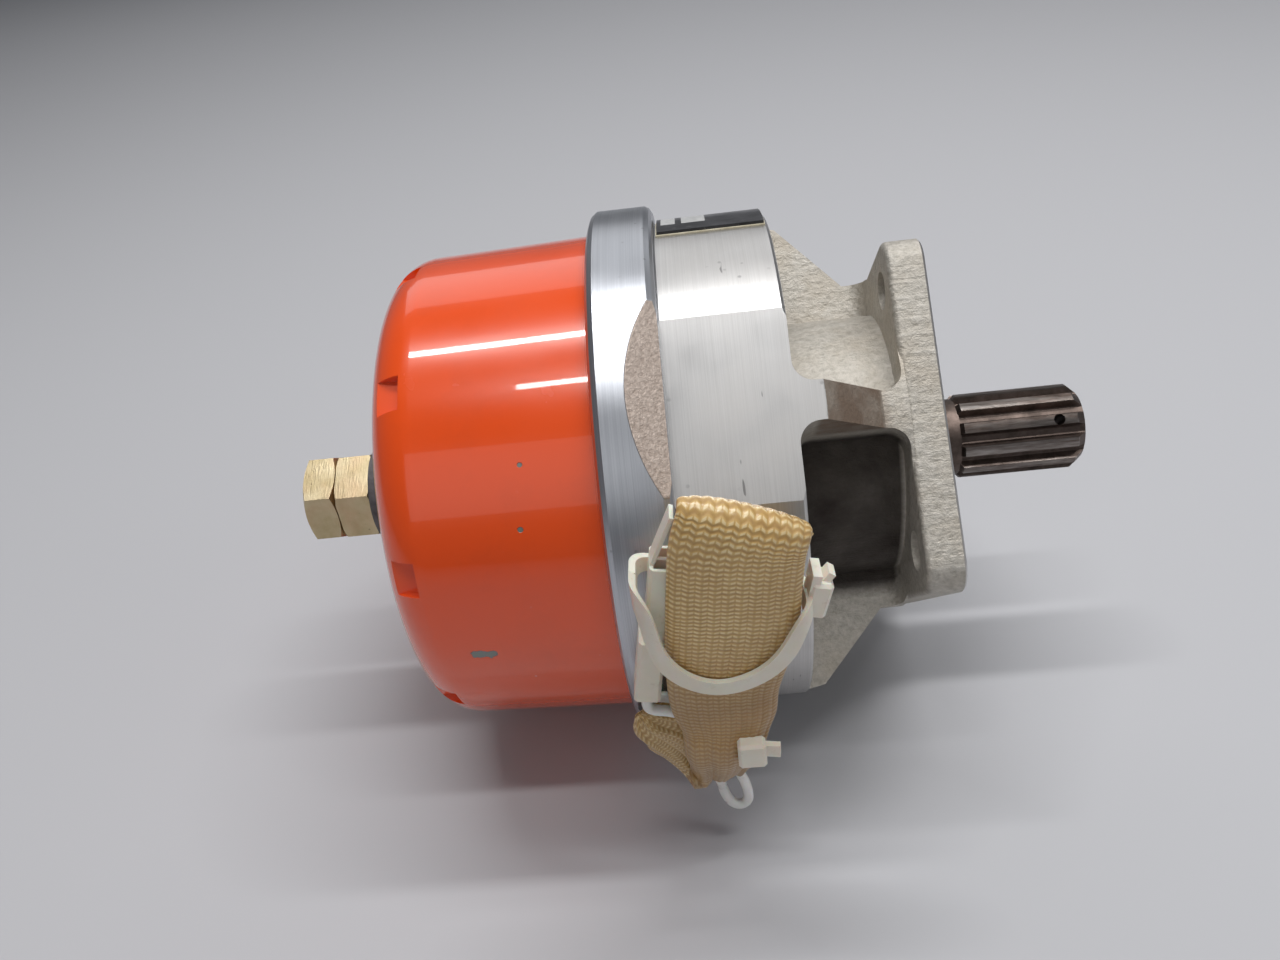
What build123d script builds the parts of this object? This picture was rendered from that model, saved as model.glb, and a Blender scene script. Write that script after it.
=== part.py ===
from build123d import *
import os
from math import cos, radians, sin, sqrt

os.makedirs("parts", exist_ok=True)

# Shaft-driven dry vane vacuum pump with an electric clutch.
# Millimetres. X runs along the shaft towards the splined drive end, +Z is up.
# The origin is the middle of the mounting face. Angles round the shaft are
# measured from the front (-Y) upwards.

# ---- driving dimensions -------------------------------------------------
FLANGE_WIDTH = 59.8          # across the flats of the square mounting flange
FLANGE_THICK = 6.3
FLANGE_CORNER = 5.1
BOLT_CIRCLE_R = 31.75        # four bolt holes on a 63.5 mm circle
BOLT_HOLE_R = 3.3
NECK_R = 24.2
RIB_HALF = 3.1
RIB_RAMP_START = -21.6
RIB_RAMP_END = -10.0
BODY_R = 44.86
BODY_FRONT = -24.8
BODY_REAR = -44.4            # joint with the ring
FLAT_DISTANCE = 42.3         # milled flat, distance from the shaft line
FLAT_ANGLE = 45.0
RING_R = 48.3
RING_REAR = -55.4            # joint with the cup
RING_BOSS_REAR = -59.9
RING_BOSS_R = 41.3
SPIGOT_FRONT = -43.2
CUP_R_FRONT = 44.2
CUP_R_REAR = 43.4
CUP_WALL = 3.0
CUP_CORNER_X = -84.0         # where the rounded rear corner starts
CUP_CORNER_R = 8.0
CUP_CENTRE_X = -98.7         # rear of the slightly domed end, at the middle
NOTCH_COUNT = 9
NOTCH_FIRST = 15.6
NOTCH_FRONT = -85.65
NOTCH_WIDTH = 5.9
NOTCH_FLOOR_R = 41.0
HEX_FLATS = 15.3             # across flats, both hexagons
HEX_ANGLE = 33.0
SPLINE_R = 7.85
SPLINE_ROOT_R = 6.3
SPLINE_TEETH = 11
SPLINE_START = 7.6
SPLINE_END = 29.9
SHEAR_NECK_R = 4.9
BEARING_BORE_R = 16.0
CAVITY_R = 34.0
CAVITY_FRONT = -30.5
CAM_R = 35.0
CAM_FRONT = -59.9
CAM_REAR = -79.9
CAM_MINOR = 17.06
CAM_MAJOR = 20.9
CAM_MAJOR_ANGLE = 75.0       # direction of the long axis of the chamber
ROTOR_R = 17.0
VANE_THICK = 2.6
VANE_HEIGHT = 9.4
VANE_COUNT = 6
REAR_PLATE_REAR = -88.9
FIT = 0.03                   # radial clearance of running fits
INLET_BORE_R = 2.2
LEAD_ANGLE = -17.8           # where the lead leaves the ring
LEAD_X = -51.5
WIRE_R = 0.95


# ---- helpers ------------------------------------------------------------
def turn(phi):
    """Rotation that carries the front (-Y) direction to the angle phi."""
    return Rot(-phi, 0, 0)


def rod(x0, x1, r):
    """Cylinder on the shaft line between two stations."""
    return Pos((x0 + x1) / 2, 0, 0) * Rot(0, 90, 0) * Cylinder(r, abs(x1 - x0))


def tube(x0, x1, r_out, r_in):
    return rod(x0, x1, r_out) - rod(x0 - 1, x1 + 1, r_in)


def turned(points):
    """Solid of revolution about the shaft line from (x, r) points."""
    outline = Polyline(*[(x, r) for x, r in points], close=True)
    return revolve(make_face(outline), Axis.X)


def offset_rod(x0, x1, r, radius, phi):
    """Cylinder parallel to the shaft at a radius and an angle."""
    shape = Pos((x0 + x1) / 2, -radius, 0) * Rot(0, 90, 0) * Cylinder(r, abs(x1 - x0))
    return turn(phi) * shape


def radial_rod(x, r0, r1, r, phi):
    """Cylinder pointing away from the shaft at an angle."""
    shape = Pos(x, -(r0 + r1) / 2, 0) * Rot(90, 0, 0) * Cylinder(r, r1 - r0)
    return turn(phi) * shape


def hexagon(x0, x1, flats, angle):
    """Hexagonal prism on the shaft line, one corner at the given angle."""
    sketch = Plane.YZ * Rot(0, 0, 180 - angle) * RegularPolygon(flats / 2, 6, major_radius=False)
    return Pos(x0, 0, 0) * extrude(sketch, x1 - x0)


def hexagon_nut(x0, x1, flats, angle, bevel):
    """Hexagonal prism with both ends turned to a bevel."""
    corner = flats / sqrt(3) + 0.02
    cone = turned([
        (x0, 0), (x0, corner - bevel), (x0 + bevel * 0.55, corner),
        (x1 - bevel * 0.55, corner), (x1, corner - bevel), (x1, 0),
    ])
    return hexagon(x0, x1, flats, angle) & cone


def save(name, *solids):
    """Write one node; several solids stay separate in a group."""
    flat = []
    for shape in solids:
        flat.extend(shape.solids())
    shape = flat[0] if len(flat) == 1 else Compound(children=flat)
    shape.label = name
    export_step(shape, f"parts/{name}.step")


def cap_screw(x_head, x_tip, r, head_r, head_h, radius, phi):
    """Socket screw parallel to the shaft with its head at the rear."""
    shank = offset_rod(x_head, x_tip, r, radius, phi)
    head = offset_rod(x_head - head_h, x_head, head_r, radius, phi)
    key = Pos(x_head - head_h, -radius, 0) * Box(head_h, head_r * 0.75, head_r * 0.75)
    return shank + head - turn(phi) * key


def wire(points, r, bend):
    """Round wire: straight runs joined by tangent arcs."""
    path = FilletPolyline(*points, radius=bend)
    start = Plane(origin=path @ 0, z_dir=path % 0)
    return sweep(start * Circle(r), path)


# ---- drive housing: flange, ribbed neck and clutch body ------------------
flange = Pos(-FLANGE_THICK / 2, 0, 0) * Rot(45, 0, 0) * Box(FLANGE_THICK, FLANGE_WIDTH, FLANGE_WIDTH)
flange = fillet(flange.edges().filter_by(Axis.X), FLANGE_CORNER)
flange = fillet(flange.edges().group_by(Axis.X)[0], 1.0)
flange = chamfer(flange.edges().group_by(Axis.X)[-1], 0.4)

hull = turned([
    (BODY_REAR, 0), (BODY_REAR, BODY_R - 0.3), (BODY_REAR + 0.3, BODY_R),
    (BODY_FRONT - 0.5, BODY_R), (BODY_FRONT, BODY_R - 0.5),
    (RIB_RAMP_START, 43.7), (RIB_RAMP_END, FLANGE_WIDTH / 2 + 1.0),
    (-FLANGE_THICK + 0.5, FLANGE_WIDTH / 2 + 0.9), (-FLANGE_THICK + 0.5, 0),
])
apex = RIB_HALF * sqrt(2)
pocket_outline = Polyline((0, apex), (-70, apex + 70), (70, apex + 70), close=True)
pocket = Pos(BODY_FRONT, 0, 0) * extrude(Plane.YZ * make_face(pocket_outline), -BODY_FRONT - FLANGE_THICK)
side_edges = [
    edge for edge in pocket.edges()
    if abs(edge.tangent_at(0.5).X) < 0.01 and abs(abs(edge.tangent_at(0.5).Y) - sqrt(0.5)) < 0.01
]
pocket = fillet(side_edges, 3.4)
pocket = pocket - rod(-60, 10, NECK_R)
for quarter in range(4):
    hull = hull - Rot(90 * quarter, 0, 0) * pocket
housing = hull + flange

flat_cut = Pos((BODY_REAR + RIB_RAMP_START) / 2 + 1, -FLAT_DISTANCE - 10, 0) * Box(
    RIB_RAMP_START - BODY_REAR + 4, 20, 60)
housing = housing - turn(FLAT_ANGLE) * flat_cut
housing = housing - rod(-29.0, 1, BEARING_BORE_R)
housing = housing - rod(-31, -28, 12.0)
housing = housing - rod(BODY_REAR - 1, CAVITY_FRONT, CAVITY_R)
housing = housing - tube(-6.9, -5.8, 17.0, 15)
for phi in (0, 90, 180, 270):
    housing = housing - offset_rod(-20, 5, BOLT_HOLE_R, BOLT_CIRCLE_R, phi)
    housing = housing - offset_rod(-FLANGE_THICK - 6, -FLANGE_THICK, 6.6, BOLT_CIRCLE_R, phi)
RING_SCREWS = (0, 90, 180, 270)
RING_SCREW_R = 36.9
for phi in RING_SCREWS:
    housing = housing - offset_rod(BODY_REAR - 1, -36.0, 1.53, RING_SCREW_R, phi)
FIELD_SCREWS = (60, 180, 300)
for phi in FIELD_SCREWS:
    housing = housing - offset_rod(-32, -28.0, 0.83, 32.75, phi)
save("drive_housing", housing)

# ---- ring (front plate of the pump) --------------------------------------
ring = turned([
    (RING_BOSS_REAR, 0), (RING_BOSS_REAR, RING_BOSS_R - 0.5), (RING_BOSS_REAR + 0.5, RING_BOSS_R),
    (RING_REAR, RING_BOSS_R), (RING_REAR, RING_R - 1.6), (RING_REAR + 0.45, RING_R - 0.6),
    (RING_REAR + 1.3, RING_R), (BODY_REAR - 1.3, RING_R), (BODY_REAR - 0.45, RING_R - 0.5),
    (BODY_REAR, RING_R - 1.4), (BODY_REAR, CAVITY_R - 0.03), (SPIGOT_FRONT, CAVITY_R - 0.03),
    (SPIGOT_FRONT, CAVITY_R - 2.0), (BODY_REAR - 0.1, CAVITY_R - 2.0), (BODY_REAR - 0.1, 0),
])
ring = ring - rod(-53.0, -40, 13.0)
ring = ring - rod(-62, -50, 5.0 + FIT)
ring = ring - tube(-57.9, -56.2, 50, 39.5)
# slanted as-cast facet on the front upper edge
FACET_ANGLE = 47.6
FACET_RADIUS = 45.1
FACET_TILT = 30.5
facet = Pos(BODY_REAR, -FACET_RADIUS, 0) * Rot(0, 0, FACET_TILT) * Pos(0, -10, 0) * Box(30, 20, 60)
ring = ring - turn(FACET_ANGLE) * facet
for phi in RING_SCREWS:
    ring = ring - offset_rod(-61, -44, 1.6, RING_SCREW_R, phi)
    ring = ring - offset_rod(-61, -57.9, 2.7, RING_SCREW_R, phi)
TIE_ANGLES = (0, 90, 180, 270)
TIE_R = 29.5
for phi in TIE_ANGLES:
    ring = ring - offset_rod(-61, -50.0, 1.98, TIE_R, phi)
PIN_ANGLES = (22.5, 202.5)
for phi in PIN_ANGLES:
    ring = ring - offset_rod(-61, -56.0, 1.5, TIE_R, phi)
# exhaust: from the cup space to the side of the ring, away from the front
EXHAUST_ANGLE = 215.0
ring = ring - offset_rod(-61, -51.5, 2.0, 37.8, EXHAUST_ANGLE)
ring = ring - radial_rod(-51.5, 36.5, 50, 3.0, EXHAUST_ANGLE)
# lead passage, and the tapped hole of the earth screw beside it
EARTH_X = -51.0
EARTH_ANGLE = -12.5
ring = ring - radial_rod(LEAD_X, 31.6, 50, 2.5, LEAD_ANGLE)
ring = ring - turn(LEAD_ANGLE) * Pos((LEAD_X - 43) / 2, -33.0, 0) * Box(-43 - LEAD_X, 2.6, 4.4)
ring = ring - radial_rod(EARTH_X, 41.0, 50, 1.0, EARTH_ANGLE)
save("ring_plate", ring)

screen = radial_rod(-51.5, 43.0, 45.6, 2.99, EXHAUST_ANGLE)
save("exhaust_screen", screen)

# ---- cup ----------------------------------------------------------------
DOME_R = (CUP_R_REAR - CUP_CORNER_R)
CUP_EDGE_X = CUP_CORNER_X - CUP_CORNER_R


def cup_outline(inset):
    """Outline of the cup at a distance inside its outer surface."""
    corner = CUP_CORNER_R - inset
    start = (CUP_CORNER_X, CUP_R_REAR - inset)
    middle = (CUP_CORNER_X - corner * sin(radians(45)), DOME_R + corner * cos(radians(45)))
    end = (CUP_CORNER_X - corner, DOME_R)
    centre = (CUP_CENTRE_X + inset, 0)
    waist = ((end[0] + centre[0]) / 2 - 1.7, DOME_R / 2)
    wall = Polyline((RING_REAR, 0), (RING_REAR, CUP_R_FRONT - inset), start)
    bend = ThreePointArc(start, middle, end)
    dome = ThreePointArc(end, waist, centre)
    back = Line(centre, (RING_REAR, 0))
    return revolve(make_face([wall, bend, dome, back]), Axis.X)


cup = cup_outline(0.0) - cup_outline(CUP_WALL)
mouth = rod(RING_BOSS_REAR - 2, RING_REAR + 1, RING_BOSS_R + 0.04)
cup = cup - mouth
notch = Pos(NOTCH_FRONT - 10, -NOTCH_FLOOR_R - 10, 0) * Box(20, 20, NOTCH_WIDTH)
for index in range(NOTCH_COUNT):
    cup = cup - turn(NOTCH_FIRST + 360.0 / NOTCH_COUNT * index) * notch
cup = cup - rod(-110, -80, 4.9)
cup = cup - rod(-110, CUP_CENTRE_X + 0.5, 9.6)
save("cup_cover", cup)

save("cup_seal", tube(-57.7, -56.4, RING_BOSS_R - 0.02, 39.55))

# ---- rear port: washer, fitting and cap ----------------------------------
SEAT = CUP_CENTRE_X + 0.5
SEAL_REAR = SEAT - 2.3
WASHER_REAR = SEAL_REAR - 2.2
FITTING_HEX_END = -109.5
CAP_END = -115.8
save("seal_washer", tube(SEAL_REAR, SEAT, 9.4, 4.5))
save("port_washer", tube(WASHER_REAR, SEAL_REAR, 8.9, 4.5))
fitting = hexagon_nut(FITTING_HEX_END, WASHER_REAR, HEX_FLATS, HEX_ANGLE, 0.7)
fitting = fitting + rod(WASHER_REAR - 1, -91.2, 4.15)
fitting = fitting + rod(FITTING_HEX_END - 4.4, FITTING_HEX_END, 5.4)
fitting = fitting - rod(-116, -90, INLET_BORE_R)
save("port_fitting", fitting)
cap = hexagon_nut(CAP_END, FITTING_HEX_END - 0.15, HEX_FLATS, HEX_ANGLE + 1.5, 1.3)
cap = cap - rod(FITTING_HEX_END - 4.5, FITTING_HEX_END + 1, 5.43)
save("port_cap", cap)

# ---- nameplate ----------------------------------------------------------
PLATE_MID = 115.4
PLATE_HALF = 21.0


def plate_shell(x0, x1, r_in, r_out, half, mid):
    """Curved plate lying on a cylinder."""
    reach = 60 * sin(radians(half)) / cos(radians(half))
    wedge_outline = Polyline((0, 0), (-60, -reach), (-60, reach), close=True)
    wedge = Pos(x0, 0, 0) * extrude(Plane.YZ * make_face(wedge_outline), x1 - x0)
    return tube(x0, x1, r_out, r_in) & turn(mid) * wedge


save("plate_adhesive", plate_shell(-43.9, -25.35, BODY_R, BODY_R + 0.25, PLATE_HALF + 0.5, PLATE_MID))
save("nameplate", plate_shell(-43.7, -25.5, BODY_R + 0.25, BODY_R + 0.75, PLATE_HALF, PLATE_MID))

# ---- drive shaft train ---------------------------------------------------
shaft = rod(-41.9, -29.0, 6.0) + rod(-29.0, 2.0, 7.5)
shaft = shaft + turned([
    (1.9, 0), (1.9, 7.5), (2.6, SHEAR_NECK_R), (4.0, SHEAR_NECK_R), (4.7, 7.1), (SPLINE_START, 7.1),
    (SPLINE_START, 0),
])
spline = turned([
    (SPLINE_START - 0.3, 0), (SPLINE_START - 0.3, 6.9), (SPLINE_START + 0.5, SPLINE_R),
    (SPLINE_END - 1.7, SPLINE_R), (SPLINE_END, SPLINE_R - 1.5), (SPLINE_END, 0),
])
gap = Polyline(
    (-SPLINE_R - 1, -1.75), (-SPLINE_R - 1, 1.75), (-SPLINE_R, 1.38), (-SPLINE_ROOT_R - 0.15, 0.72),
    (-SPLINE_ROOT_R, 0.5), (-SPLINE_ROOT_R, -0.5), (-SPLINE_ROOT_R - 0.15, -0.72), (-SPLINE_R, -1.38),
    close=True)
gap_cut = Pos(SPLINE_START - 1, 0, 0) * extrude(Plane.YZ * make_face(gap), SPLINE_END - SPLINE_START + 3)
for index in range(SPLINE_TEETH):
    spline = spline - turn(59.8 + 360.0 / SPLINE_TEETH * index) * gap_cut
shaft = shaft + spline
shaft = shaft - tube(-41.4, -40.5, 7.0, 5.4)
shaft = shaft - turn(43.5) * Pos(25.0, 0, 0) * Rot(90, 0, 0) * Cylinder(1.0, 30)
shaft = shaft - rod(SPLINE_END - 3.5, SPLINE_END + 1, 1.6)
save("drive_shaft", shaft)

seal = tube(-5.5, -0.8, BEARING_BORE_R, 14.2) + tube(-5.5, -4.7, 14.3, 9.4)
save("oil_seal_case", seal)
lip = turned([
    (-4.65, 9.5), (-4.65, 14.15), (-3.9, 14.15), (-3.7, 10.4), (-2.6, 8.6),
    (-1.9, 7.5 + FIT), (-1.4, 8.3), (-2.2, 9.3), (-3.9, 9.3),
])
save("oil_seal_lip", lip)
save("bore_clip", tube(-6.8, -5.9, 16.95, 13.6) - Pos(-6.35, 0, 16) * Box(2, 7, 8))


def bearing(x0, x1, r_in, r_out, ball_r, balls):
    """Outer ring, inner ring and balls of one ball bearing."""
    pitch = (r_in + r_out) / 2
    mid = (x0 + x1) / 2
    channel = ball_r * 0.82
    outer = tube(x0, x1, r_out, pitch + ball_r * 0.62)
    outer = outer - tube(mid - channel, mid + channel, pitch + ball_r + FIT, pitch)
    inner = tube(x0, x1, pitch - ball_r * 0.62, r_in)
    inner = inner - tube(mid - channel, mid + channel, pitch + ball_r, pitch - ball_r - FIT)
    spheres = [turn(360.0 / balls * index) * Pos(mid, -pitch, 0) * Sphere(ball_r) for index in range(balls)]
    return outer, inner, spheres


front_a = bearing(-16.0, -7.0, 7.5, BEARING_BORE_R, 2.6, 8)
front_b = bearing(-29.0, -20.0, 7.5, BEARING_BORE_R, 2.6, 8)
save("drive_bearing_outers", front_a[0], front_b[0])
save("drive_bearing_inners", front_a[1], front_b[1])
save("drive_bearing_balls", *front_a[2], *front_b[2])
save("bearing_spacer", tube(-20.0, -16.0, BEARING_BORE_R, 13.9))
save("inner_spacer", tube(-19.95, -16.05, 9.4, 7.5))

# ---- clutch --------------------------------------------------------------
disc = tube(-40.2, -36.9, 31.5, 6.0) + tube(-37.0, -29.05, 10.5, 6.0)
save("clutch_disc", disc)
save("disc_clip", tube(-41.3, -40.6, 8.0, 5.45) - Pos(-41, 0, 8) * Box(2, 4, 8))
shell = tube(-36.5, CAVITY_FRONT, 31.5, 12.8) - tube(-38, -32.2, 28.6, 16.4)
shell = shell + tube(-32.0, CAVITY_FRONT, 33.9, 31.0)
for phi in FIELD_SCREWS:
    shell = shell - offset_rod(-33, -30, 0.82, 32.75, phi)
save("field_shell", shell)
save("field_screws", *[
    offset_rod(-32.0, -28.2, 0.8, 32.75, phi) + offset_rod(-32.7, -32.0, 1.15, 32.75, phi)
    for phi in FIELD_SCREWS])
save("field_winding", tube(-35.9, -32.3, 28.4, 16.6))
save("field_potting", tube(-36.45, -35.95, 28.55, 16.45))

STRAPS = (30, 150, 270)
armature = tube(-42.7, -40.75, 31.0, 13.4)
straps = []
strap_rivets = []
hub_rivets = []
hub = tube(-44.9, -43.14, 12.4, 5.0)
for phi in STRAPS:
    armature = armature - offset_rod(-43, -40, 1.0, 24.0, phi)
    strap = turn(phi) * (Pos(-42.91, -17.0, 0) * Box(0.36, 17.6, 4.2))
    strap = strap - offset_rod(-44, -42, 1.3, 24.0, phi) - offset_rod(-44, -42, 1.0, 9.6, phi)
    straps.append(strap)
    strap_rivets.append(offset_rod(-43.5, -41.0, 1.0, 24.0, phi))
    hub = hub - offset_rod(-45, -43, 1.0, 9.6, phi)
    hub_rivets.append(offset_rod(-44.4, -42.6, 1.0, 9.6, phi) + offset_rod(-42.7, -42.35, 1.5, 9.6, phi))
save("armature_plate", armature)
save("armature_rivets", *strap_rivets)
save("clutch_straps", *straps)
save("clutch_hub", hub)
save("hub_rivets", *hub_rivets)

# ---- pump shaft, rotor and vanes -----------------------------------------
pump_shaft = rod(-88.4, -43.2, 5.0)
key_seat = Pos(-70.0, 0, 5.0) * Box(12.0, 2.0, 2.4)
save("pump_shaft", pump_shaft - key_seat)
save("rotor_key", Pos(-70.0, 0, 5.0) * Box(11.98, 1.98, 2.36))
pump_front = bearing(-53.0, -45.0, 5.0, 13.0, 2.3, 8)
pump_rear = bearing(REAR_PLATE_REAR, -82.9, 5.0, 11.0, 1.7, 9)
save("pump_bearing_outers", pump_front[0], pump_rear[0])
save("pump_bearing_inners", pump_front[1], pump_rear[1])
save("pump_bearing_balls", *pump_front[2], *pump_rear[2])

rotor = tube(CAM_REAR + 0.1, CAM_FRONT - 0.1, ROTOR_R, 5.0)
rotor = rotor - Pos(-70.0, 0, 5.0) * Box(12.1, 2.06, 2.46)
slot = Pos((CAM_REAR + CAM_FRONT) / 2, -7.2 - 10, 0) * Box(30, 20, VANE_THICK + 2 * FIT)
vane_mid = ROTOR_R - 0.02 - VANE_HEIGHT / 2
vane_block = Pos((CAM_REAR + CAM_FRONT) / 2, -vane_mid, 0) * Box(
    CAM_FRONT - CAM_REAR - 0.24, VANE_HEIGHT, VANE_THICK)
vane_block = vane_block & rod(CAM_REAR, CAM_FRONT, ROTOR_R - 0.02)
for index in range(VANE_COUNT):
    phi = 60.0 * index
    rotor = rotor - turn(phi) * slot
    save(f"vane_{index + 1}", turn(phi) * vane_block)
save("rotor", rotor)

# ---- cam ring, rear plate and their fasteners -----------------------------
bore_outline = Plane.YZ * Rot(0, 0, 180 - CAM_MAJOR_ANGLE) * Ellipse(CAM_MAJOR, CAM_MINOR)
chamber = Pos(CAM_REAR - 1, 0, 0) * extrude(bore_outline, CAM_FRONT - CAM_REAR + 2)
cam = rod(CAM_REAR, CAM_FRONT, CAM_R) - chamber
rear_plate = rod(REAR_PLATE_REAR, CAM_REAR, CAM_R)
rear_plate = rear_plate - rod(REAR_PLATE_REAR - 1, -82.9, 11.0) - rod(-90, -70, 5.0 + FIT)
for phi in TIE_ANGLES:
    cam = cam - offset_rod(-90, -50, 2.1, TIE_R, phi)
    rear_plate = rear_plate - offset_rod(-95, -50, 2.1, TIE_R, phi)
for phi in PIN_ANGLES:
    cam = cam - offset_rod(-90, -50, 1.5, TIE_R, phi)
    rear_plate = rear_plate - offset_rod(-84.0, -50, 1.5, TIE_R, phi)
for phi in (CAM_MAJOR_ANGLE + 38, CAM_MAJOR_ANGLE + 218):
    cam = cam - radial_rod((CAM_REAR + CAM_FRONT) / 2, 15, 40, 2.0, phi)
INLETS = (CAM_MAJOR_ANGLE - 35, CAM_MAJOR_ANGLE + 145)
for phi in INLETS:
    rear_plate = rear_plate - offset_rod(-95, -70, 1.7, 18.6, phi)
CAP_ANGLES = (100, 220, 340)
for phi in CAP_ANGLES:
    rear_plate = rear_plate - offset_rod(-95, -83.5, 1.27, 22.8, phi)
for phi in TIE_ANGLES:
    rear_plate = rear_plate - offset_rod(-95, REAR_PLATE_REAR + 1.4, 3.4, TIE_R, phi)
rear_plate = rear_plate & turned([
    (REAR_PLATE_REAR, 0), (REAR_PLATE_REAR, CAM_R - 1.5), (REAR_PLATE_REAR + 1.5, CAM_R), (CAM_REAR, CAM_R),
    (CAM_REAR, 0),
])
save("cam_ring", cam)
save("rear_plate", rear_plate)

save("tie_screws", *[
    cap_screw(REAR_PLATE_REAR + 1.4, -52.0, 1.95, 3.2, 1.3, TIE_R, phi) for phi in TIE_ANGLES])
save("dowel_pins", *[offset_rod(-83.9, -56.1, 1.5, TIE_R, phi) for phi in PIN_ANGLES])

bearing_cap = rod(-90.7, REAR_PLATE_REAR, 25.2) + rod(-93.95, -90.6, 8.0)
bearing_cap = bearing_cap - rod(-89.9, -88, 20.6) - rod(-96, -85, 4.2)
for phi in CAP_ANGLES:
    bearing_cap = bearing_cap - offset_rod(-95, -85, 1.3, 22.8, phi)
save("bearing_cap", bearing_cap)
save("cap_screws", *[
    offset_rod(-90.7, -84.0, 1.25, 22.8, phi) + offset_rod(-91.55, -90.7, 2.2, 22.8, phi)
    for phi in CAP_ANGLES])
save("ring_screws", *[
    cap_screw(-57.9, -37.0, 1.5, 2.6, 1.9, RING_SCREW_R, phi) for phi in RING_SCREWS])

# ---- electrical lead: gland, inner leads, sleeve, wires, plug and ties ------
gland = radial_rod(LEAD_X, 41.0, RING_R + 0.05, 2.47, LEAD_ANGLE)
gland = gland + radial_rod(LEAD_X, RING_R + 0.05, RING_R + 1.2, 2.6, LEAD_ANGLE)
save("lead_gland", gland)
save("earth_screw", radial_rod(EARTH_X, 41.2, RING_R, 0.98, EARTH_ANGLE)
     + radial_rod(EARTH_X, RING_R, RING_R + 1.0, 1.7, EARTH_ANGLE)
     - turn(EARTH_ANGLE) * Pos(EARTH_X, -RING_R - 1.0, 0) * Box(4, 0.8, 0.6))
inner_leads = []
for side in (-1.2, 1.2):
    run = wire([(LEAD_X, -40.9, side), (LEAD_X, -32.75, side), (-33.4, -32.75, side), (-33.4, -31.55, side)],
               0.45, 0.5)
    inner_leads.append(turn(LEAD_ANGLE) * run)
save("inner_leads", *inner_leads)

# folded sleeve standing beside the pump: (height, x, y, width, thickness)
HANK = (
    (30.4, -40.0, -53.2, 7.0, 4.6), (27.5, -36.5, -53.1, 14.4, 6.4), (24.5, -35.6, -53.0, 18.4, 7.2),
    (20.0, -36.1, -52.9, 17.2, 7.4), (9.0, -37.3, -52.9, 18.6, 7.6), (2.0, -38.7, -52.9, 17.8, 7.8),
    (-3.0, -39.6, -52.9, 16.4, 7.8), (-9.7, -39.9, -52.6, 15.4, 7.2), (-13.0, -40.4, -52.2, 12.6, 6.8),
    (-14.4, -40.6, -52.1, 10.2, 6.4), (-18.4, -40.8, -52.1, 9.8, 6.4), (-19.6, -41.0, -51.8, 10.8, 7.0),
    (-24.0, -41.6, -50.4, 9.6, 7.2), (-28.4, -42.3, -48.8, 7.6, 6.0),
)
sections = [
    Pos(x, y, z) * RectangleRounded(width, thick, min(width, thick) * 0.42)
    for z, x, y, width, thick in HANK
]
hank = loft(sections, ruled=True)
lobe_start = Vector(-45.0, -48.9, -25.3)
lobe_end = Vector(-53.4, -51.2, -12.9)
lobe_plane = Plane(origin=lobe_start, x_dir=(0.83, 0, 0.56), z_dir=lobe_end - lobe_start)
lobe = extrude(lobe_plane * RectangleRounded(5.0, 4.6, 2.1), (lobe_end - lobe_start).length)
stub = radial_rod(LEAD_X, RING_R + 1.6, RING_R + 3.2, 2.1, LEAD_ANGLE)
save("lead_sleeve", hank + lobe + stub)

lead_wires = []
lead_wires.append(wire(
    [(-40.9, -49.0, -29.1), (-38.4, -49.5, -31.8), (-37.4, -49.9, -37.9), (-42.8, -49.7, -38.0),
     (-43.6, -48.9, -28.6)],
    WIRE_R, 1.6))
for side in (-1.15, 1.15):
    lead_wires.append(wire(
        [(-51.7, -52.1 + side, -5.3), (-51.9, -52.1 + side, -8.6 + side * 0.3),
         (-47.8, -52.1 + side, -9.2 + side * 0.3)],
        WIRE_R * 0.8, 1.4))
save("lead_wires", *lead_wires)

# flat plug leaning against the left edge of the sleeve
PLUG_LEAN = 10.1
lean = Pos(-48.85, -52.1, 8.0) * Rot(0, PLUG_LEAN, 0)
plug = Pos(0, 0, 1.0) * Box(3.3, 5.6, 23.4)
plug = chamfer(plug.edges().filter_by(Axis.Z), 0.45)
collar = Pos(-0.35, 0, -7.2) * Box(4.0, 6.2, 12.0)
collar = chamfer(collar.edges().filter_by(Axis.Z), 0.5)
plug = plug + collar
for side in (-1.3, 1.3):
    plug = plug - Pos(0, side, 7.0) * Box(2.2, 1.9, 14.0)
    plug = plug - Pos(0, side, -5) * Box(1.2, 1.2, 20.0)
latch_outline = Polyline((-1.65, 9.0), (-1.05, 9.0), (-1.05, 12.4), (1.05, 20.9), (0.45, 21.05), (-1.65, 12.6), close=True)
latch = Pos(0, 1.6, 0) * extrude(Plane.XZ * make_face(latch_outline), 3.2)
save("plug_housing", lean * (plug + latch))
save("plug_contacts", *[
    lean * (Pos(0, side, 5.4) * Box(2.1, 1.8, 9.6) - Pos(0, side, 8.0) * Box(1.4, 0.9, 6.0))
    for side in (-1.3, 1.3)])

# upper tie: a strap that sags across the front of sleeve and plug
TIE_THICK = 0.9
TIE_HALF = 1.2
WRAP_X = -38.75
WRAP_Y = -52.85
wrap = Pos(WRAP_X, WRAP_Y, 0) * extrude(RectangleRounded(25.2, 10.4, 3.2), 60)
wrap = wrap - Pos(WRAP_X, WRAP_Y, 0) * extrude(
    RectangleRounded(25.2 - 2 * TIE_THICK, 10.4 - 2 * TIE_THICK, 3.2 - TIE_THICK), 60)
wrap = Pos(0, 0, -30) * wrap


def strap_strip(centre_line, y0, y1):
    """Slab of constant width that follows a line of (x, z) points."""
    outline = trace(Spline(*centre_line), 2 * TIE_HALF)
    return Pos(0, y0, 0) * extrude(Plane.XZ * outline, y0 - y1)


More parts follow.
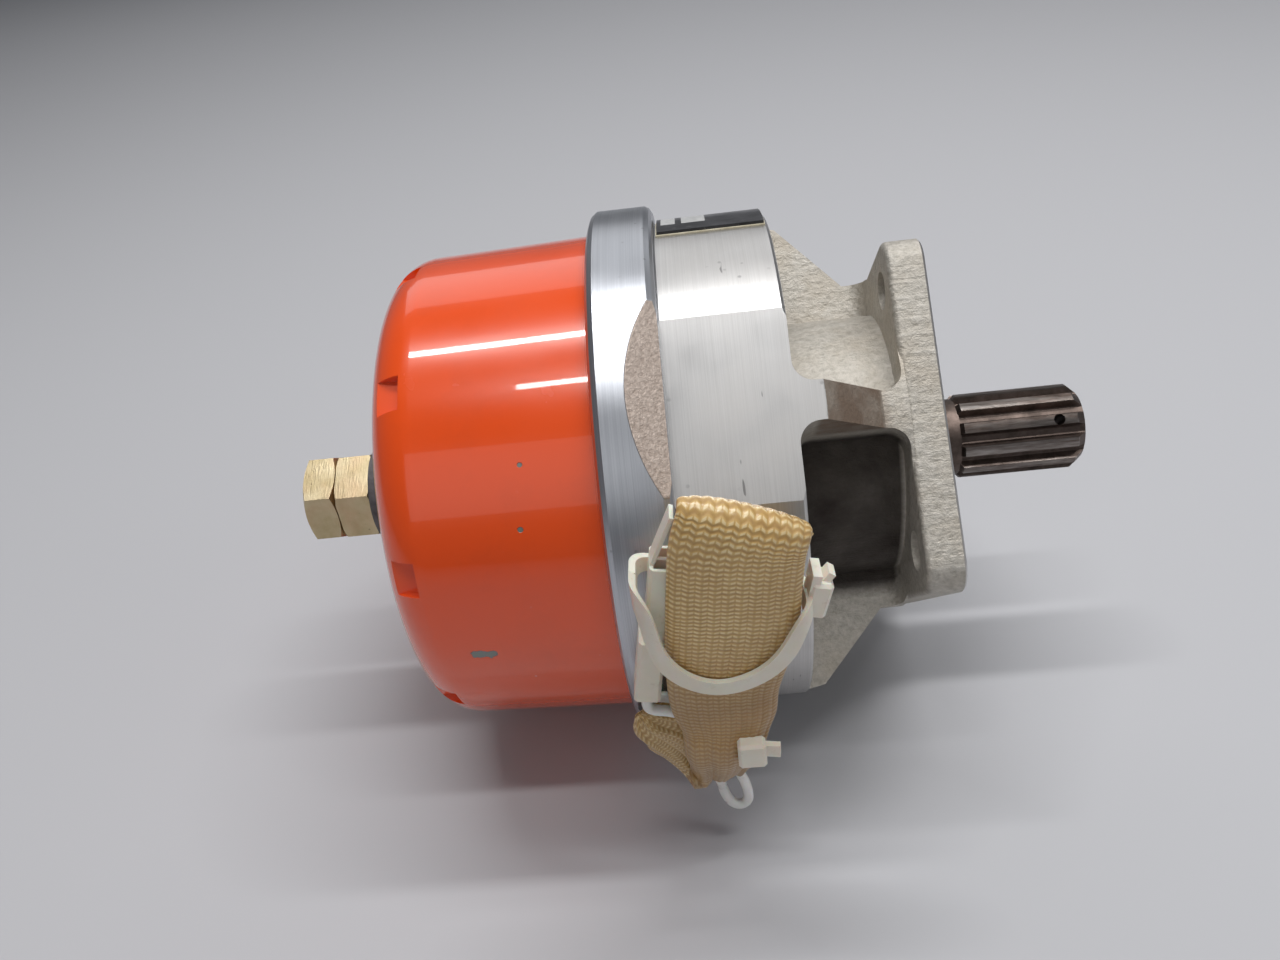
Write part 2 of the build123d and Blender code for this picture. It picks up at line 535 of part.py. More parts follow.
front_line = [(-54, 20.0), (-50.2, 15.6), (-48.6, 7.4), (-45.3, 2.0), (-40.6, -0.3), (-36.2, 0.4),
              (-31.9, 3.4), (-29.2, 7.6), (-27.0, 11.4), (-25.0, 12.8)]
rear_line = [(-54, 19.6), (-50.2, 17.4), (-39, 13.6), (-28.4, 11.4), (-25, 11.0)]
front_half = wrap & strap_strip(front_line, WRAP_Y, -62)
rear_half = wrap & strap_strip(rear_line, -46.0, WRAP_Y)
tie_head = Box(3.2, 4.6, 6.4)
tie_head = chamfer(tie_head.edges(), 0.5)
tie_head = Pos(-25.3, -52.9, 12.3) * Rot(0, 14, 0) * tie_head
tie_tail = Pos(-24.3, -52.9, 15.0) * Rot(0, 38, 0) * Box(1.1, 2.4, 3.6)
tie_tail = tie_tail + Pos(-25.6, -52.9, 15.5) * Rot(0, 12, 0) * Box(1.3, 4.0, 3.0)
save("tie_upper", front_half + rear_half + tie_head + tie_tail)

# lower tie round the gathered sleeve
band = extrude(RectangleRounded(12.2, 9.0, 3.2), 3.2) - extrude(RectangleRounded(10.6, 7.2, 2.4), 3.2)
band = Pos(-40.5, -52.2, -18.1) * band
lower_head = Pos(-36.4, -57.6, -15.4) * Box(4.4, 2.6, 5.2)
lower_head = chamfer(lower_head.edges(), 0.5)
lower_tail = Pos(-33.3, -57.8, -14.8) * Rot(0, 0, -10) * Box(2.6, 1.0, 2.5)
save("tie_lower", band + lower_head + lower_tail)
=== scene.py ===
import bpy
import math
import numpy as np
from mathutils import Matrix, Vector


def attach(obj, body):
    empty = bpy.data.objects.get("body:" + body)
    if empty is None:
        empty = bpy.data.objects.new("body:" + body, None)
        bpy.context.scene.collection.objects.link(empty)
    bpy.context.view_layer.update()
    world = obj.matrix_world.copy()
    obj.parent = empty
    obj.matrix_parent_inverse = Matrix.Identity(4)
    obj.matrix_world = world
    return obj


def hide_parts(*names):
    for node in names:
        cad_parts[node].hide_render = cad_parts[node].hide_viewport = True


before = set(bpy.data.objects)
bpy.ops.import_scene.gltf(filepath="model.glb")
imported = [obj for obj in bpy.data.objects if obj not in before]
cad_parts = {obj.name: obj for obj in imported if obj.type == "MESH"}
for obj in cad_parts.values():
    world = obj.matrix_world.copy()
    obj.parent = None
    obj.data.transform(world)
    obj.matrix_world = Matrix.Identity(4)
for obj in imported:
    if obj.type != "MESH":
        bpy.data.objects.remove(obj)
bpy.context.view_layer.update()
MM = 0.001
FLOOR_Z = -0.0484


# ---- material graph helper ------------------------------------------------
class Graph:
    """Builds one procedural material, node by node."""

    def __init__(self, name, rough=0.5, metal=0.0, coat=0.0, coat_rough=0.1, sss=0.0):
        self.mat = bpy.data.materials.new(name)
        self.mat.use_nodes = True
        self.tree = self.mat.node_tree
        self.tree.nodes.clear()
        out = self.add("ShaderNodeOutputMaterial")
        self.bsdf = self.add("ShaderNodeBsdfPrincipled")
        self.link(self.bsdf.outputs[0], out.inputs[0])
        self.set("Roughness", rough)
        self.set("Metallic", metal)
        self.set("Coat Weight", coat)
        self.set("Coat Roughness", coat_rough)
        self.set("IOR", 1.5)
        if sss:
            self.set("Subsurface Weight", sss)
            self.set("Subsurface Scale", 0.002)
        coords = self.add("ShaderNodeTexCoord")
        self.place = coords.outputs["Object"]
        self.bumps = None

    def add(self, kind):
        return self.tree.nodes.new(kind)

    def link(self, a, b):
        self.tree.links.new(a, b)

    def put(self, value, socket):
        if isinstance(value, bpy.types.NodeSocket):
            self.link(value, socket)
        elif isinstance(value, tuple) and len(value) == 3 and socket.type == "RGBA":
            socket.default_value = (*value, 1.0)
        else:
            socket.default_value = value

    def set(self, name, value):
        self.put(value, self.bsdf.inputs[name])

    def math(self, op, a, b=0.0, clamp=False):
        node = self.add("ShaderNodeMath")
        node.operation = op
        node.use_clamp = clamp
        self.put(a, node.inputs[0])
        self.put(b, node.inputs[1])
        return node.outputs[0]

    def vector(self, op, a, b=(0.0, 0.0, 0.0), out=0):
        node = self.add("ShaderNodeVectorMath")
        node.operation = op
        self.put(a, node.inputs[0])
        self.put(b, node.inputs[1])
        return node.outputs[out]

    def axes(self):
        node = self.add("ShaderNodeSeparateXYZ")
        self.link(self.place, node.inputs[0])
        return node.outputs

    def radius(self):
        _, y, z = self.axes()
        squares = self.math("ADD", self.math("MULTIPLY", y, y), self.math("MULTIPLY", z, z))
        return self.math("SQRT", squares)

    def angle(self):
        """Angle round the shaft in radians: 0 at the front, positive upwards."""
        _, y, z = self.axes()
        return self.math("ARCTAN2", z, self.math("MULTIPLY", y, -1.0))

    def stretch(self, scale):
        return self.vector("MULTIPLY", self.place, scale)

    def noise(self, scale, detail=4.0, rough=0.55, where=None):
        node = self.add("ShaderNodeTexNoise")
        self.put(self.place if where is None else where, node.inputs["Vector"])
        node.inputs["Scale"].default_value = scale
        node.inputs["Detail"].default_value = detail
        node.inputs["Roughness"].default_value = rough
        return node.outputs[0]

    def cells(self, scale):
        node = self.add("ShaderNodeTexVoronoi")
        self.put(self.place, node.inputs["Vector"])
        node.inputs["Scale"].default_value = scale
        return node.outputs[0]

    def ramp(self, value, low, high, a=0.0, b=1.0):
        node = self.add("ShaderNodeMapRange")
        node.clamp = True
        self.put(value, node.inputs[0])
        for index, number in enumerate((low, high, a, b)):
            node.inputs[index + 1].default_value = number
        return node.outputs[0]

    def mix(self, factor, a, b):
        node = self.add("ShaderNodeMix")
        node.data_type = "RGBA"
        self.put(factor, node.inputs[0])
        self.put(a, node.inputs[6])
        self.put(b, node.inputs[7])
        return node.outputs[2]

    def bump(self, height, strength, distance):
        node = self.add("ShaderNodeBump")
        node.inputs["Strength"].default_value = strength
        node.inputs["Distance"].default_value = distance
        self.put(height, node.inputs["Height"])
        if self.bumps is not None:
            self.link(self.bumps, node.inputs["Normal"])
        self.bumps = node.outputs[0]
        self.link(self.bumps, self.bsdf.inputs["Normal"])

    def attribute(self, name):
        node = self.add("ShaderNodeAttribute")
        node.attribute_name = name
        return node.outputs["Fac"]


def dress(mat, slot_name, *names):
    """Gives CAD nodes a material."""
    for name in names:
        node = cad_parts[name]
        node.data.materials.clear()
        node.data.materials.append(mat)


# ---- materials --------------------------------------------------------------
def orange_enamel():
    g = Graph("orange_enamel", rough=0.24, coat=0.8, coat_rough=0.03)
    wide = g.noise(9.0, 3.0)
    paint = g.mix(g.ramp(wide, 0.35, 0.65), (0.84, 0.074, 0.001), (0.91, 0.092, 0.002))
    x, y, z = g.axes()
    # dust pits gather low on the front
    low = g.math("MULTIPLY", g.ramp(z, 0.014, -0.004), g.ramp(y, -0.02, -0.036))
    pits = g.math("MULTIPLY", g.ramp(g.cells(260.0), 0.09, 0.05), g.ramp(g.noise(120.0, 2.0), 0.54, 0.62))
    pits = g.math("MULTIPLY", pits, g.math("ADD", g.math("MULTIPLY", low, 0.8), 0.03))
    paint = g.mix(pits, paint, (0.88, 0.42, 0.26))
    grime = g.math("MULTIPLY", g.ramp(g.noise(60.0, 6.0, 0.7), 0.5, 0.75), 0.15)
    paint = g.mix(grime, paint, (0.42, 0.05, 0.012))
    # one larger chip down to grey-green primer, and two specks
    wobble = g.math("MULTIPLY", g.math("SUBTRACT", g.noise(420.0, 3.0), 0.5), 0.0032)
    apart = g.vector("SUBTRACT", g.place, (-0.0773, -0.0437, -0.0035))
    apart = g.vector("MULTIPLY", apart, (0.62, 1.0, 1.55))
    chip = g.math("ADD", g.vector("LENGTH", apart, out=1), wobble)
    chipped = g.ramp(chip, 0.00155, 0.00135)
    for spot in ((-0.0671, -0.0348, 0.0268), (-0.0681, -0.0399, 0.0184)):
        away = g.vector("LENGTH", g.vector("SUBTRACT", g.place, spot), out=1)
        away = g.math("ADD", away, g.math("MULTIPLY", wobble, 0.15))
        chipped = g.math("MAXIMUM", chipped, g.ramp(away, 0.0005, 0.00038))
    paint = g.mix(chipped, paint, (0.17, 0.19, 0.17))
    # darker rolled edge of the cup beside the ring
    rim = g.ramp(x, -0.0560, -0.0555)
    paint = g.mix(g.math("MULTIPLY", rim, 0.6), paint, (0.36, 0.05, 0.012))
    g.set("Base Color", paint)
    g.set("Roughness", g.ramp(g.noise(35.0, 5.0), 0.3, 0.7, 0.18, 0.30))
    g.bump(g.noise(30.0, 3.0), 0.05, 0.0010)
    g.bump(pits, 0.3, 0.0002)
    g.bump(chipped, 0.9, -0.00018)
    return g.mat


def ring_metal():
    g = Graph("ring_aluminium", rough=0.34, metal=1.0)
    lines = g.noise(1.0, 6.0, 0.7, g.stretch((9000.0, 14.0, 14.0)))
    broad = g.noise(40.0, 3.0)
    base = g.mix(g.ramp(lines, 0.35, 0.65), (0.45, 0.465, 0.50), (0.58, 0.595, 0.63))
    base = g.mix(g.ramp(broad, 0.45, 0.75, 0.0, 0.3), base, (0.40, 0.42, 0.46))
    marks = g.math("MULTIPLY", g.ramp(g.cells(500.0), 0.16, 0.09), g.ramp(g.noise(90.0), 0.56, 0.62))
    base = g.mix(g.math("MULTIPLY", marks, 0.7), base, (0.30, 0.30, 0.32))
    # slanted as-cast facet: the plane through its foot on the front edge
    tilt = math.radians(30.5)
    around = math.radians(47.6)
    normal = (math.sin(tilt), -math.cos(tilt) * math.cos(around), math.cos(tilt) * math.sin(around))
    front, foot_radius = -0.0444, 0.0451
    foot = (front, -foot_radius * math.cos(around), foot_radius * math.sin(around))
    height = g.vector("DOT_PRODUCT", g.vector("SUBTRACT", g.place, foot), normal, out=1)
    facet = g.ramp(g.math("ABSOLUTE", height), 0.00012, 0.00006)
    grain = g.noise(1500.0, 3.0, 0.7)
    cast = g.mix(g.ramp(grain, 0.3, 0.7), (0.42, 0.34, 0.29), (0.68, 0.58, 0.51))
    base = g.mix(facet, base, cast)
    g.set("Base Color", base)
    g.set("Roughness", g.math("ADD", g.ramp(broad, 0.3, 0.7, 0.27, 0.40), g.math("MULTIPLY", facet, 0.28)))
    g.set("Metallic", g.math("SUBTRACT", 1.0, g.math("MULTIPLY", facet, 0.35)))
    g.bump(lines, 0.10, 0.0002)
    g.bump(g.math("MULTIPLY", facet, grain), 0.6, 0.0004)
    return g.mat


def housing_metal():
    g = Graph("cast_aluminium", rough=0.5, metal=1.0)
    x, y, z = g.axes()
    radius = g.radius()
    machined = g.math("MULTIPLY", g.ramp(x, -0.0244, -0.0249), g.ramp(radius, 0.0350, 0.0354))
    flat_normal = (0.0, -math.sqrt(0.5), math.sqrt(0.5))
    reach = g.vector("DOT_PRODUCT", g.place, flat_normal, out=1)
    on_flat = g.math("MULTIPLY", g.ramp(reach, 0.04215, 0.04222), g.ramp(reach, 0.04246, 0.04238))
    machined = g.math("MAXIMUM", machined, on_flat)
    face = g.ramp(x, -0.0004, -0.0002)
    machined = g.math("MAXIMUM", machined, face)
    # machined skin: soft lines, pits, fine dark scratches
    lines = g.noise(1.0, 5.0, 0.65, g.stretch((5200.0, 30.0, 30.0)))
    cloud = g.noise(55.0, 5.0, 0.6)
    skin = g.mix(g.ramp(lines, 0.3, 0.7), (0.56, 0.55, 0.54), (0.67, 0.66, 0.65))
    skin = g.mix(g.ramp(cloud, 0.45, 0.8, 0.0, 0.55), skin, (0.50, 0.48, 0.46))
    pits = g.math("MULTIPLY", g.ramp(g.cells(430.0), 0.17, 0.08), g.ramp(g.noise(70.0), 0.54, 0.60))
    nicks = g.noise(1.0, 2.0, 0.5, g.stretch((900.0, 160.0, 160.0)))
    nicks = g.math("MULTIPLY", g.ramp(nicks, 0.735, 0.76), g.ramp(cloud, 0.42, 0.55))
    worn = g.math("MAXIMUM", g.math("MULTIPLY", pits, 0.6), g.math("MULTIPLY", nicks, 0.8))
    skin = g.mix(worn, skin, (0.22, 0.21, 0.21))
    # sand-cast skin: warm grain, with glints painted in as pale streaks
    grain = g.noise(900.0, 4.0, 0.75)
    ripple = g.noise(1.0, 3.0, 0.6, g.stretch((260.0, 900.0, 900.0)))
    warm = g.noise(70.0, 4.0, 0.6)
    cast = g.mix(g.ramp(grain, 0.30, 0.70), (0.36, 0.335, 0.29), (0.62, 0.585, 0.53))
    cast = g.mix(g.ramp(warm, 0.45, 0.70, 0.0, 0.45), cast, (0.46, 0.39, 0.30))
    # pale streaks: painted glints
    cast = g.mix(g.ramp(ripple, 0.55, 0.72, 0.0, 0.25), cast, (0.76, 0.74, 0.69))
    # brown stain on the front ramp
    ramp_zone = g.math("MULTIPLY", g.ramp(x, -0.0220, -0.0210), g.ramp(x, -0.0085, -0.0105))
    ramp_zone = g.math("MULTIPLY", ramp_zone, g.ramp(reach, 0.0296, 0.0315))
    stain_and_shade = g.math("MULTIPLY", ramp_zone, g.ramp(g.noise(160.0, 4.0), 0.22, 0.6, 0.35, 1.0))
    cast = g.mix(stain_and_shade, cast, (0.24, 0.175, 0.13))
    # painted shade and painted dark reflection on the lower front of the pockets round the neck
    deep = g.math("MULTIPLY", g.ramp(radius, 0.0290, 0.0258), g.ramp(x, -0.0063, -0.0072))
    deep = g.math("MULTIPLY", deep, g.math("MULTIPLY", g.ramp(z, 0.0195, 0.0150), g.ramp(y, 0.004, -0.006)))
    painted_pocket_shade = g.math("MULTIPLY", deep, g.ramp(g.noise(120.0, 5.0), 0.25, 0.7, 0.82, 0.99))
    cast = g.mix(painted_pocket_shade, cast, (0.035, 0.026, 0.021))
    g.set("Base Color", g.mix(machined, cast, skin))
    rough = g.mix(machined, g.ramp(grain, 0.3, 0.7, 0.52, 0.66), g.ramp(cloud, 0.3, 0.7, 0.30, 0.43))
    g.set("Roughness", rough)
    g.set("Metallic", g.ramp(machined, 0.0, 1.0, 0.62, 1.0))
    rough_part = g.math("SUBTRACT", 1.0, machined)
    g.bump(g.math("MULTIPLY", grain, rough_part), 0.55, 0.0005)
    g.bump(g.math("MULTIPLY", ripple, rough_part), 0.35, 0.0006)
    g.bump(g.math("MULTIPLY", worn, machined), 0.15, -0.0001)
    g.bump(lines, 0.05, 0.0002)
    return g.mat


def spline_steel():
    g = Graph("spline_steel", rough=0.38, metal=1.0)
    radius = g.radius()
    wear = g.noise(1.0, 4.0, 0.6, g.stretch((90.0, 700.0, 700.0)))
    land = g.math("MULTIPLY", g.ramp(radius, 0.00755, 0.00778), g.ramp(wear, 0.38, 0.60))
    oxide = g.mix(g.ramp(g.noise(260.0, 5.0, 0.7), 0.35, 0.7), (0.075, 0.058, 0.05), (0.19, 0.145, 0.125))
    rubbed = g.noise(1.0, 4.0, 0.7, g.stretch((120.0, 1800.0, 1800.0)))
    bright = g.mix(g.ramp(rubbed, 0.35, 0.7), (0.15, 0.125, 0.11), (0.36, 0.33, 0.31))
    g.set("Base Color", g.mix(land, oxide, bright))
    g.set("Roughness", g.ramp(land, 0.0, 1.0, 0.46, 0.30))
    g.bump(g.noise(700.0, 4.0), 0.2, 0.0002)
    return g.mat


def yellow_zinc():
    g = Graph("yellow_zinc", rough=0.34, metal=1.0)
    tint = g.noise(170.0, 4.0, 0.6)
    base = g.mix(g.ramp(tint, 0.3, 0.7), (0.46, 0.36, 0.20), (0.66, 0.56, 0.37))
    pink = g.ramp(g.noise(110.0, 3.0), 0.5, 0.7, 0.0, 0.5)
    base = g.mix(pink, base, (0.58, 0.38, 0.24))
    spots = g.math("MULTIPLY", g.ramp(g.cells(620.0), 0.15, 0.08), g.ramp(g.noise(150.0), 0.52, 0.6))
    base = g.mix(g.math("MULTIPLY", spots, 0.75), base, (0.20, 0.15, 0.08))
    g.set("Base Color", base)
    g.set("Roughness", g.ramp(g.noise(400.0), 0.3, 0.7, 0.28, 0.46))
    g.bump(g.noise(1.0, 4.0, 0.6, g.stretch((3000.0, 500.0, 500.0))), 0.18, 0.0002)
    return g.mat


def plate_face():
    g = Graph("plate_face", rough=0.36, metal=0.25, coat=0.25)
    x = g.axes()[0]
    angle = g.angle()
    first = g.math("MULTIPLY", g.ramp(x, -0.0430, -0.0429), g.ramp(x, -0.0404, -0.0405))
    second = g.math("MULTIPLY", g.ramp(x, -0.0394, -0.0393), g.ramp(x, -0.0352, -0.0353))
    low, high = math.radians(99.5), math.radians(111.0)
    edge = 0.002
    band = g.math("MULTIPLY", g.ramp(angle, low - edge, low + edge), g.ramp(angle, high + edge, high - edge))
    field = g.math("MULTIPLY", g.math("ADD", first, second, clamp=True), band)
    dark = g.mix(g.ramp(g.noise(300.0, 4.0), 0.35, 0.7), (0.018, 0.018, 0.020), (0.05, 0.05, 0.055))
    light = g.mix(g.ramp(g.noise(900.0, 3.0), 0.3, 0.7), (0.56, 0.56, 0.55), (0.70, 0.70, 0.69))
    scuff = g.ramp(g.noise(1.0, 3.0, 0.6, g.stretch((300.0, 1200.0, 1200.0))), 0.66, 0.72, 0.0, 0.5)
    colour = g.mix(field, dark, light)
    g.set("Base Color", g.mix(scuff, colour, (0.32, 0.31, 0.30)))
    g.set("Roughness", g.ramp(g.noise(200.0), 0.3, 0.7, 0.28, 0.48))
    g.bump(field, 0.3, 0.00006)
    return g.mat


def plain(name, dark, light, rough, metal, scale, bump=0.2, coat=0.0, sss=0.0, spots=None):
    """A two-tone material with noise in its colour, roughness and relief."""
    g = Graph(name, rough=rough, metal=metal, coat=coat, sss=sss)
    tone = g.noise(scale, 4.0, 0.6)
    colour = g.mix(g.ramp(tone, 0.3, 0.7), dark, light)
    if spots:
        patches = g.ramp(g.noise(scale * 0.4), 0.5, 0.6)
        mask = g.math("MULTIPLY", g.ramp(g.cells(scale * 1.6), 0.16, 0.08), patches)
        colour = g.mix(mask, colour, spots)
    g.set("Base Color", colour)
    g.set("Roughness", g.ramp(g.noise(scale * 2.0), 0.3, 0.7, rough * 0.85, min(rough * 1.2, 1.0)))
    g.bump(g.noise(scale * 4.0, 4.0), bump, 0.0002)
    return g.mat


STITCH = 0.78                 # mm from one stitch to the next


def braid_material():
    """Knitted sleeve: slanting stitches either side of each rib, varnished."""
    g = Graph("braid", rough=0.42, coat=0.6, coat_rough=0.24)
    lane = g.attribute("lane")
    along = g.attribute("along")
    sleeve_shade = g.attribute("stain_and_shade")
    slant = g.math("ADD", g.math("MULTIPLY", along, 2 * math.pi / STITCH), g.math("MULTIPLY", lane, 5.5))
    slant = g.math("ADD", slant, g.math("MULTIPLY", g.noise(240.0, 2.0), 6.0))
    stitch = g.ramp(g.math("COSINE", slant), -0.9, 0.7)
    rib = g.math("MULTIPLY", g.ramp(lane, 0.5, 0.36), g.ramp(lane, 0.0, 0.09))
    weave = g.math("MULTIPLY", g.math("ADD", g.math("MULTIPLY", rib, 0.55), 0.45), stitch)
    strand = g.mix(g.ramp(g.noise(380.0, 4.0), 0.3, 0.7), (0.62, 0.40, 0.13), (0.80, 0.60, 0.27))
    strand = g.mix(g.ramp(g.noise(60.0, 3.0), 0.45, 0.7, 0.0, 0.5), strand, (0.66, 0.38, 0.10))
    # darker colour in the valleys between stitches: painted shade
    shaded_valley = g.mix(g.ramp(g.noise(500.0), 0.3, 0.7), (0.42, 0.24, 0.07), (0.54, 0.33, 0.11))
    colour = g.mix(weave, shaded_valley, strand)
    # paler colour on the crowns of the stitches: painted highlight
    colour = g.mix(g.ramp(weave, 0.75, 1.0, 0.0, 0.55), colour, (0.86, 0.72, 0.44))
    # painted shade: darker brown low on the sleeve and towards one edge
    colour = g.mix(sleeve_shade, colour, (0.30, 0.14, 0.03))
    g.set("Base Color", colour)
    g.set("Roughness", g.ramp(g.noise(700.0), 0.3, 0.7, 0.32, 0.52))
    g.set("Sheen Weight", 0.1)
    g.bump(weave, 0.6, 0.00014)
    g.bump(g.noise(2600.0, 3.0), 0.25, 0.0001)
    return g.mat


def nylon():
    g = Graph("nylon", rough=0.42, coat=0.1, sss=0.35)
    tone = g.noise(90.0, 4.0)
    colour = g.mix(g.ramp(tone, 0.3, 0.7), (0.72, 0.66, 0.54), (0.84, 0.80, 0.70))
    dust = g.ramp(g.noise(520.0, 5.0, 0.7), 0.60, 0.72, 0.0, 0.45)
    colour = g.mix(dust, colour, (0.54, 0.46, 0.34))
    g.set("Base Color", colour)
    g.set("Roughness", g.ramp(g.noise(300.0), 0.3, 0.7, 0.32, 0.52))
    g.bump(g.noise(1.0, 2.0, 0.5, g.stretch((1500.0, 1500.0, 1500.0))), 0.12, 0.0001)
    return g.mat


CAST = housing_metal()
RING = ring_metal()
ENAMEL = orange_enamel()
SPLINE = spline_steel()
ZINC = yellow_zinc()
PLATE = plate_face()
NYLON = nylon()
BRAID = braid_material()
STEEL = plain("plain_steel", (0.42, 0.42, 0.43), (0.60, 0.60, 0.61),
              0.34, 1.0, 240.0, 0.15, spots=(0.3, 0.26, 0.22))
BEARING = plain("bearing_steel", (0.62, 0.63, 0.65), (0.76, 0.77, 0.79), 0.16, 1.0, 300.0, 0.06)
SPRING = plain("spring_steel", (0.34, 0.35, 0.38), (0.50, 0.51, 0.55), 0.30, 1.0, 300.0, 0.12)
RUBBER = plain("seal_rubber", (0.022, 0.020, 0.019), (0.06, 0.055, 0.05),
               0.62, 0.0, 320.0, 0.3, spots=(0.14, 0.12, 0.10))
GLAND = plain("lead_rubber", (0.035, 0.035, 0.034), (0.10, 0.10, 0.095),
              0.58, 0.0, 300.0, 0.3, spots=(0.2, 0.18, 0.15))
WASHER = plain("dark_washer", (0.06, 0.055, 0.055), (0.16, 0.155, 0.16),
               0.45, 0.35, 420.0, 0.25, spots=(0.30, 0.28, 0.27))
COPPER = plain("copper_winding", (0.40, 0.13, 0.05), (0.72, 0.30, 0.12), 0.30, 0.9, 500.0, 0.3)
POTTING = plain("potting", (0.05, 0.02, 0.012), (0.12, 0.05, 0.03), 0.25, 0.0, 150.0, 0.15)
CARBON = plain("carbon", (0.03, 0.03, 0.032), (0.085, 0.085, 0.09),
               0.42, 0.1, 500.0, 0.2, spots=(0.16, 0.16, 0.17))
INNER = plain("inner_aluminium", (0.58, 0.58, 0.58), (0.74, 0.74, 0.74), 0.34, 1.0, 260.0, 0.12)
BRONZE = plain("bronze_screen", (0.28, 0.16, 0.06), (0.60, 0.38, 0.17), 0.5, 0.9, 1800.0, 0.6)
BLACK = plain("black_screw", (0.03, 0.03, 0.032), (0.09, 0.09, 0.095), 0.4, 0.8, 300.0, 0.15)
TEAL = plain("teal_screw", (0.16, 0.22, 0.21), (0.36, 0.45, 0.43),
             0.34, 0.9, 600.0, 0.3, spots=(0.12, 0.11, 0.09))
WHITE = plain("wire_white", (0.74, 0.73, 0.69), (0.90, 0.90, 0.87),
              0.30, 0.0, 160.0, 0.1, coat=0.3, sss=0.2, spots=(0.55, 0.50, 0.42))
CONTACT = plain("tin_contact", (0.50, 0.42, 0.25), (0.80, 0.72, 0.50), 0.25, 1.0, 500.0, 0.15)
FILM = plain("adhesive", (0.52, 0.46, 0.32), (0.78, 0.72, 0.56),
             0.55, 0.0, 420.0, 0.25, spots=(0.40, 0.34, 0.22))

dress(CAST, "cast_aluminium", "drive_housing")
dress(RING, "ring_aluminium", "ring_plate")
dress(ENAMEL, "orange_enamel", "cup_cover")
dress(SPLINE, "spline_steel", "drive_shaft")
dress(ZINC, "yellow_zinc", "port_fitting", "port_cap")
dress(WASHER, "dark_washer", "seal_washer", "port_washer")
dress(PLATE, "plate_face", "nameplate")
dress(FILM, "adhesive", "plate_adhesive")
dress(BRONZE, "bronze_screen", "exhaust_screen")
dress(RUBBER, "seal_rubber", "cup_seal", "oil_seal_lip")
dress(STEEL, "plain_steel", "oil_seal_case", "bearing_spacer", "inner_spacer", "clutch_disc", "field_shell",
      "armature_plate", "armature_rivets", "clutch_hub", "hub_rivets", "rotor_key")
dress(SPRING, "spring_steel", "bore_clip", "disc_clip", "clutch_straps")
dress(BEARING, "bearing_steel", "drive_bearing_outers", "drive_bearing_inners", "drive_bearing_balls",
      "pump_shaft", "pump_bearing_outers", "pump_bearing_inners", "pump_bearing_balls", "dowel_pins")
dress(COPPER, "copper_winding", "field_winding")
dress(POTTING, "potting", "field_potting")
dress(CARBON, "carbon", "rotor", "vane_1", "vane_2", "vane_3", "vane_4", "vane_5", "vane_6")
dress(INNER, "inner_aluminium", "cam_ring", "rear_plate", "bearing_cap")
dress(BLACK, "black_screw", "field_screws", "tie_screws", "cap_screws", "ring_screws")
dress(GLAND, "lead_rubber", "lead_gland")
dress(TEAL, "teal_screw", "earth_screw")
dress(WHITE, "wire_white", "inner_leads")
dress(NYLON, "nylon", "plug_housing", "tie_upper", "tie_lower")
dress(CONTACT, "tin_contact", "plug_contacts")


# ---- woven sleeve -----------------------------------------------------------
# centre line stations in mm: x, y, z, half width, half thickness,
# and the tilt of the width direction in degrees from +X towards +Z
SLEEVE = (
    (-53.3, -50.9, -12.2, 0.5, 0.3, 42), (-52.9, -50.9, -12.7, 2.2, 1.0, 42),
    (-51.5, -50.8, -14.2, 4.3, 2.0, 40), (-48.9, -50.5, -16.3, 5.8, 2.3, 38),
    (-46.7, -50.2, -19.4, 5.9, 2.3, 34), (-45.2, -49.9, -23.2, 5.0, 2.2, 27),
    (-43.6, -50.3, -25.9, 4.6, 1.9, 18), (-42.2, -51.7, -26.4, 4.6, 1.8, 10),
    (-41.4, -53.2, -23.2, 5.0, 2.0, 6), (-40.9, -54.6, -18.8, 6.0, 2.4, 3),
    (-40.6, -54.9, -15.6, 6.3, 2.5, 0), (-40.2, -54.7, -12.4, 6.9, 2.3, -2),
    (-40.0, -54.7, -8.6, 8.0, 2.2, -3), (-39.8, -54.8, -3.0, 8.5, 2.1, 0),
    (-38.6, -54.9, 4.2, 9.3, 2.1, -1), (-37.6, -55.0, 10.5, 9.6, 2.1, -4),
    (-36.9, -55.0, 17.0, 9.5, 2.1, -8), (-36.1, -54.8, 22.6, 9.5, 2.0, -13),
    (-34.9, -53.9, 26.2, 9.5, 1.8, -20), (-34.6, -52.6, 27.0, 9.6, 1.5, -21),
    (-34.9, -51.3, 25.8, 9.2, 1.5, -19), (-35.8, -50.9, 22.0, 8.9, 1.5, -12),
    (-37.2, -50.9, 12.0, 9.0, 1.5, -5), (-38.8, -50.9, 2.0, 8.6, 1.5, -2),
    (-40.0, -50.8, -7.0, 7.4, 1.5, 0), (-40.4, -50.7, -12.5, 5.8, 1.5, 0),
    (-40.5, -50.6, -16.5, 4.8, 1.5, 0),
)


def smooth(stations, steps):
    """Catmull-Rom samples of every column, evenly spaced along the line."""
    data = np.array(stations, float)
    dense = []
    for i in range(len(data) - 1):
        p0, p1, p2, p3 = data[max(i - 1, 0)], data[i], data[i + 1], data[min(i + 2, len(data) - 1)]
        for t in np.linspace(0, 1, 30, endpoint=False):
            dense.append(0.5 * (2 * p1 + (p2 - p0) * t + (2 * p0 - 5 * p1 + 4 * p2 - p3) * t ** 2
                                + (3 * p1 - p0 - 3 * p2 + p3) * t ** 3))
    dense.append(data[-1])
    dense = np.array(dense)
    run = np.concatenate([[0], np.cumsum(np.linalg.norm(np.diff(dense[:, :3], axis=0), axis=1))])
    want = np.linspace(0, run[-1], steps)
    return want, np.stack([np.interp(want, run, dense[:, k]) for k in range(dense.shape[1])], 1)


